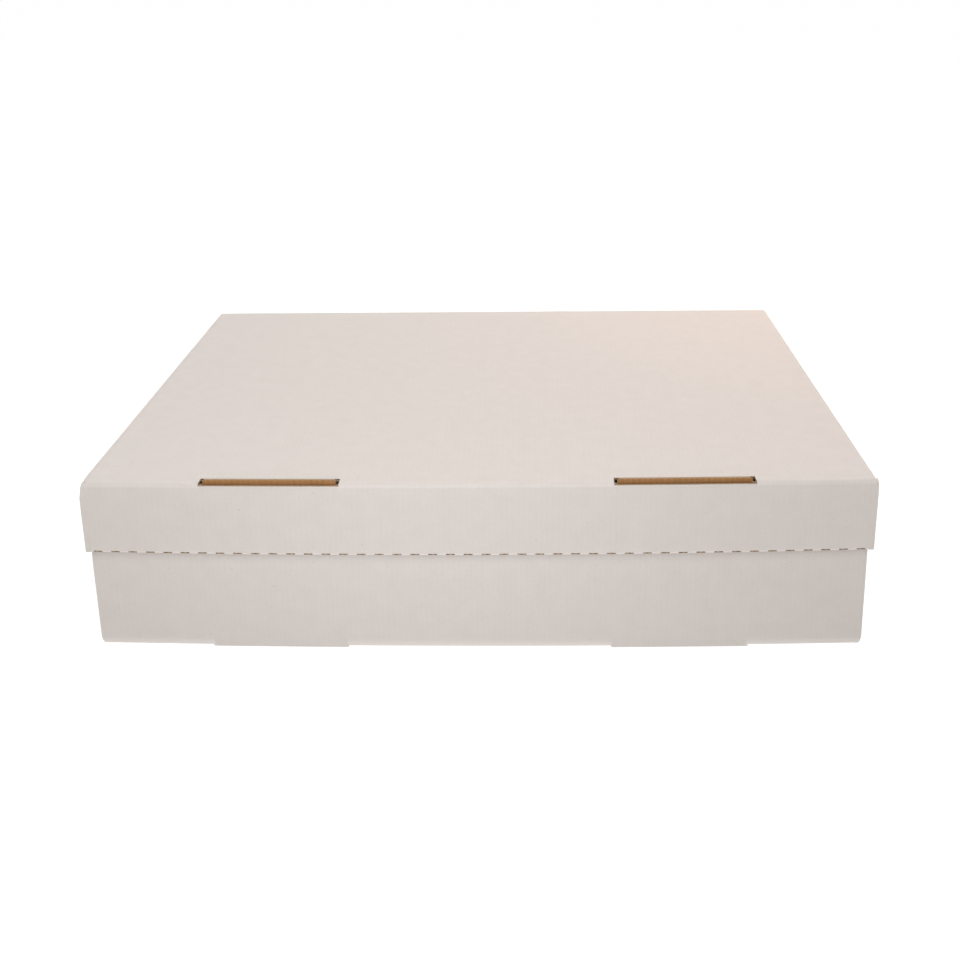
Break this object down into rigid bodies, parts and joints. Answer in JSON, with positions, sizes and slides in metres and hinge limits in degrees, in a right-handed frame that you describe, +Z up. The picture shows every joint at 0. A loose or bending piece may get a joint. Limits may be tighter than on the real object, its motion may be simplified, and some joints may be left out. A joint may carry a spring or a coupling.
{
  "type": "cupcake box",
  "caption": "Shallow-lidded corrugated bakery box with rolled front walls, a hinged lid and punched inserts that hold cupcakes upright.",
  "frame": {"origin": "on the ground, below the middle of the closed box", "axes": "+X along the front wall to the viewer's right, +Y from the front to the hinged back wall, +Z up"},
  "size_m": [0.4456, 0.3254, 0.1065],
  "materials": {
    "white_board": "matt white liner outside, brown kraft inside",
    "insert_card": "matt white card"
  },
  "bodies": {
    "base": {"base_tray": "white_board", "cake_insert_left": "insert_card", "cake_insert_right": "insert_card"},
    "lid": {"lid": "white_board"}
  },
  "joints": [
    {"name": "lid_hinge", "type": "hinge", "parent": "base", "child": "lid", "pos_m": [0, 0.16265, 0.10355], "axis": [-1, 0, 0], "range_deg": [0, 110]}
  ]
}
